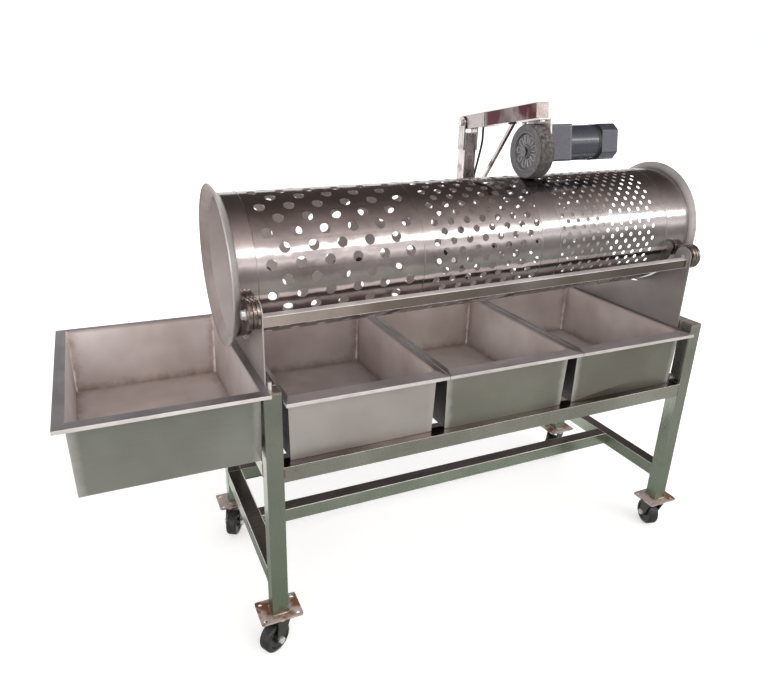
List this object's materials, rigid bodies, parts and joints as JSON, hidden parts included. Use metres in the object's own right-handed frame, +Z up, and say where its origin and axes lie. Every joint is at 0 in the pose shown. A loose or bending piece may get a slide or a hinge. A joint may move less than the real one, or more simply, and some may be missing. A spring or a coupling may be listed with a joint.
{
  "type": "flower sorting machine",
  "caption": "Inclined perforated steel drum on rollers, turned by a friction wheel on a hinged arm, sorting flowers by size into bins on a square-tube stand with swivel casters",
  "frame": {"origin": "on the floor, under the middle of the bounding box", "axes": "+X along the drum from the oversize discharge to the feed end, +Y from the bin fronts to the drive post at the back, +Z up"},
  "size_m": [1.744, 0.6406, 1.31],
  "materials": {
    "frame_steel": "bare stainless tube, dull polished",
    "drum_steel": "polished perforated stainless sheet",
    "bin_steel": "brushed stainless sheet with bright welds",
    "roller_steel": "turned steel",
    "fastener_steel": "zinc plated",
    "tinted_steel": "stainless plate browned by welding heat",
    "caster_black": "black painted pressed steel",
    "caster_tread": "black wheel with a worn grey tread",
    "motor_grey": "slate grey semi-gloss paint",
    "rubber_black": "dusty solid rubber",
    "lead_sheath": "black sheathed lead",
    "box_grey": "light grey powder coat",
    "black_plastic": "moulded black plastic",
    "gear_steel": "machined steel, oiled"
  },
  "bodies": {
    "frame": {"legs": "frame_steel", "leg_caps": "frame_steel", "bin_rails": "frame_steel", "top_cross_rails": "frame_steel", "low_rails": "frame_steel", "low_stretcher": "frame_steel", "end_panel_left": "frame_steel", "end_panel_right": "frame_steel", "drum_rails": "frame_steel", "roller_bolts": "fastener_steel", "gantry_post": "frame_steel", "post_brackets": "frame_steel", "hinge_bolt": "fastener_steel", "stay": "frame_steel", "stop_pad": "rubber_black", "bin_support_arms": "frame_steel", "bin_stop_pins": "frame_steel", "caster_plates": "tinted_steel", "control_box": "box_grey", "control_lid": "box_grey", "box_gland": "black_plastic", "motor_lead_post": "lead_sheath"},
    "drum": {"drum_flare_left": "drum_steel", "drum_band_left": "drum_steel", "drum_sheet_large": "drum_steel", "drum_sheet_medium": "drum_steel", "drum_band_drive": "drum_steel", "drum_sheet_small": "drum_steel", "drum_band_right": "drum_steel", "drum_flare_right": "drum_steel"},
    "arm": {"arm_beam": "frame_steel", "motor_bracket": "motor_grey", "bracket_bolts": "fastener_steel", "gearbox": "motor_grey", "motor_shell": "motor_grey", "motor_end_cap": "motor_grey", "motor_lead_arm": "lead_sheath"},
    "drive_wheel": {"drive_tyre": "rubber_black", "drive_hub": "motor_grey", "drive_shaft": "fastener_steel", "output_gear": "gear_steel"},
    "idler": {"idler_gear": "gear_steel"},
    "rotor": {"motor_rotor": "gear_steel"},
    "roller_front_left_body": {"roller_front_left": "roller_steel"},
    "roller_rear_left_body": {"roller_rear_left": "roller_steel"},
    "roller_front_right_body": {"roller_front_right": "roller_steel"},
    "roller_rear_right_body": {"roller_rear_right": "roller_steel"},
    "bin_oversize_body": {"bin_oversize": "bin_steel"},
    "bin_large_body": {"bin_large": "bin_steel"},
    "bin_medium_body": {"bin_medium": "bin_steel"},
    "bin_small_body": {"bin_small": "bin_steel"},
    "caster_fl": {"caster_fork_fl": "caster_black"},
    "wheel_fl": {"caster_wheel_fl": "caster_tread"},
    "caster_fr": {"caster_fork_fr": "caster_black"},
    "wheel_fr": {"caster_wheel_fr": "caster_tread"},
    "caster_rl": {"caster_fork_rl": "caster_black"},
    "wheel_rl": {"caster_wheel_rl": "caster_tread"},
    "caster_rr": {"caster_fork_rr": "caster_black"},
    "wheel_rr": {"caster_wheel_rr": "caster_tread"},
    "knob": {"speed_knob": "black_plastic"}
  },
  "joints": [
    {"name": "drum_spin", "type": "hinge", "parent": "frame", "child": "drum", "pos_m": [0.17284, -0.03, 0.94691], "axis": [0.9997, 0, 0.0227], "continuous": true},
    {"name": "roller_front_left_spin", "type": "hinge", "parent": "frame", "child": "roller_front_left_body", "pos_m": [-0.4663, -0.225, 0.8735], "axis": [1, 0, 0], "continuous": true},
    {"name": "roller_rear_left_spin", "type": "hinge", "parent": "frame", "child": "roller_rear_left_body", "pos_m": [-0.4663, 0.165, 0.8735], "axis": [1, 0, 0], "continuous": true},
    {"name": "roller_front_right_spin", "type": "hinge", "parent": "frame", "child": "roller_front_right_body", "pos_m": [0.8143, -0.225, 0.90182], "axis": [1, 0, 0], "continuous": true},
    {"name": "roller_rear_right_spin", "type": "hinge", "parent": "frame", "child": "roller_rear_right_body", "pos_m": [0.8143, 0.165, 0.90182], "axis": [1, 0, 0], "continuous": true},
    {"name": "arm_hinge", "type": "hinge", "parent": "frame", "child": "arm", "pos_m": [0.3415, 0.26, 1.243], "axis": [-0.9997, 0, -0.0227], "range_deg": [0, 60]},
    {"name": "drive_spin", "type": "hinge", "parent": "arm", "child": "drive_wheel", "pos_m": [0.34278, -0.06853, 1.1865], "axis": [0.9997, 0, 0.0227], "continuous": true},
    {"name": "idler_spin", "type": "hinge", "parent": "arm", "child": "idler", "pos_m": [0.40263, -0.04549, 1.19383], "axis": [0.9997, 0, 0.0227], "continuous": true},
    {"name": "rotor_spin", "type": "hinge", "parent": "arm", "child": "rotor", "pos_m": [0.46235, -0.06612, 1.20705], "axis": [0.9997, 0, 0.0227], "continuous": true},
    {"name": "bin_oversize_slide", "type": "slide", "parent": "frame", "child": "bin_oversize_body", "axis": [-1, 0, 0], "range_m": [0, 0.4]},
    {"name": "bin_large_slide", "type": "slide", "parent": "frame", "child": "bin_large_body", "axis": [0, -1, 0], "range_m": [0, 0.4]},
    {"name": "bin_medium_slide", "type": "slide", "parent": "frame", "child": "bin_medium_body", "axis": [0, -1, 0], "range_m": [0, 0.4]},
    {"name": "bin_small_slide", "type": "slide", "parent": "frame", "child": "bin_small_body", "axis": [0, -1, 0], "range_m": [0, 0.4]},
    {"name": "caster_swivel_fl", "type": "hinge", "parent": "frame", "child": "caster_fl", "pos_m": [-0.4465, -0.28, 0.096], "axis": [0, 0, 1], "continuous": true},
    {"name": "caster_roll_fl", "type": "hinge", "parent": "caster_fl", "child": "wheel_fl", "pos_m": [-0.46209, -0.289, 0.04], "axis": [-0.5, 0.866, 0], "continuous": true},
    {"name": "caster_swivel_fr", "type": "hinge", "parent": "frame", "child": "caster_fr", "pos_m": [0.8195, -0.28, 0.096], "axis": [0, 0, 1], "continuous": true},
    {"name": "caster_roll_fr", "type": "hinge", "parent": "caster_fr", "child": "wheel_fr", "pos_m": [0.82416, -0.26262, 0.04], "axis": [0.9659, -0.2588, 0], "continuous": true},
    {"name": "caster_swivel_rl", "type": "hinge", "parent": "frame", "child": "caster_rl", "pos_m": [-0.4465, 0.22, 0.096], "axis": [0, 0, 1], "continuous": true},
    {"name": "caster_roll_rl", "type": "hinge", "parent": "caster_rl", "child": "wheel_rl", "pos_m": [-0.4555, 0.20441, 0.04], "axis": [-0.866, 0.5, 0], "continuous": true},
    {"name": "caster_swivel_rr", "type": "hinge", "parent": "frame", "child": "caster_rr", "pos_m": [0.8195, 0.22, 0.096], "axis": [0, 0, 1], "continuous": true},
    {"name": "caster_roll_rr", "type": "hinge", "parent": "caster_rr", "child": "wheel_rr", "pos_m": [0.80259, 0.21384, 0.04], "axis": [-0.342, 0.9397, 0], "continuous": true},
    {"name": "knob_turn", "type": "hinge", "parent": "frame", "child": "knob", "pos_m": [0.4115, 0.306, 0.683], "axis": [0, 1, 0], "range_deg": [0, 270]}
  ],
  "couplings": [
    {"joint": "roller_front_left_spin", "follows": "drum_spin", "ratio": -4.8143},
    {"joint": "roller_rear_left_spin", "follows": "drum_spin", "ratio": -4.8143},
    {"joint": "roller_front_right_spin", "follows": "drum_spin", "ratio": -4.8143},
    {"joint": "roller_rear_right_spin", "follows": "drum_spin", "ratio": -4.8143},
    {"joint": "drive_spin", "follows": "drum_spin", "ratio": -2.4071},
    {"joint": "idler_spin", "follows": "drum_spin", "ratio": 7.2214},
    {"joint": "rotor_spin", "follows": "drum_spin", "ratio": -21.664}
  ]
}
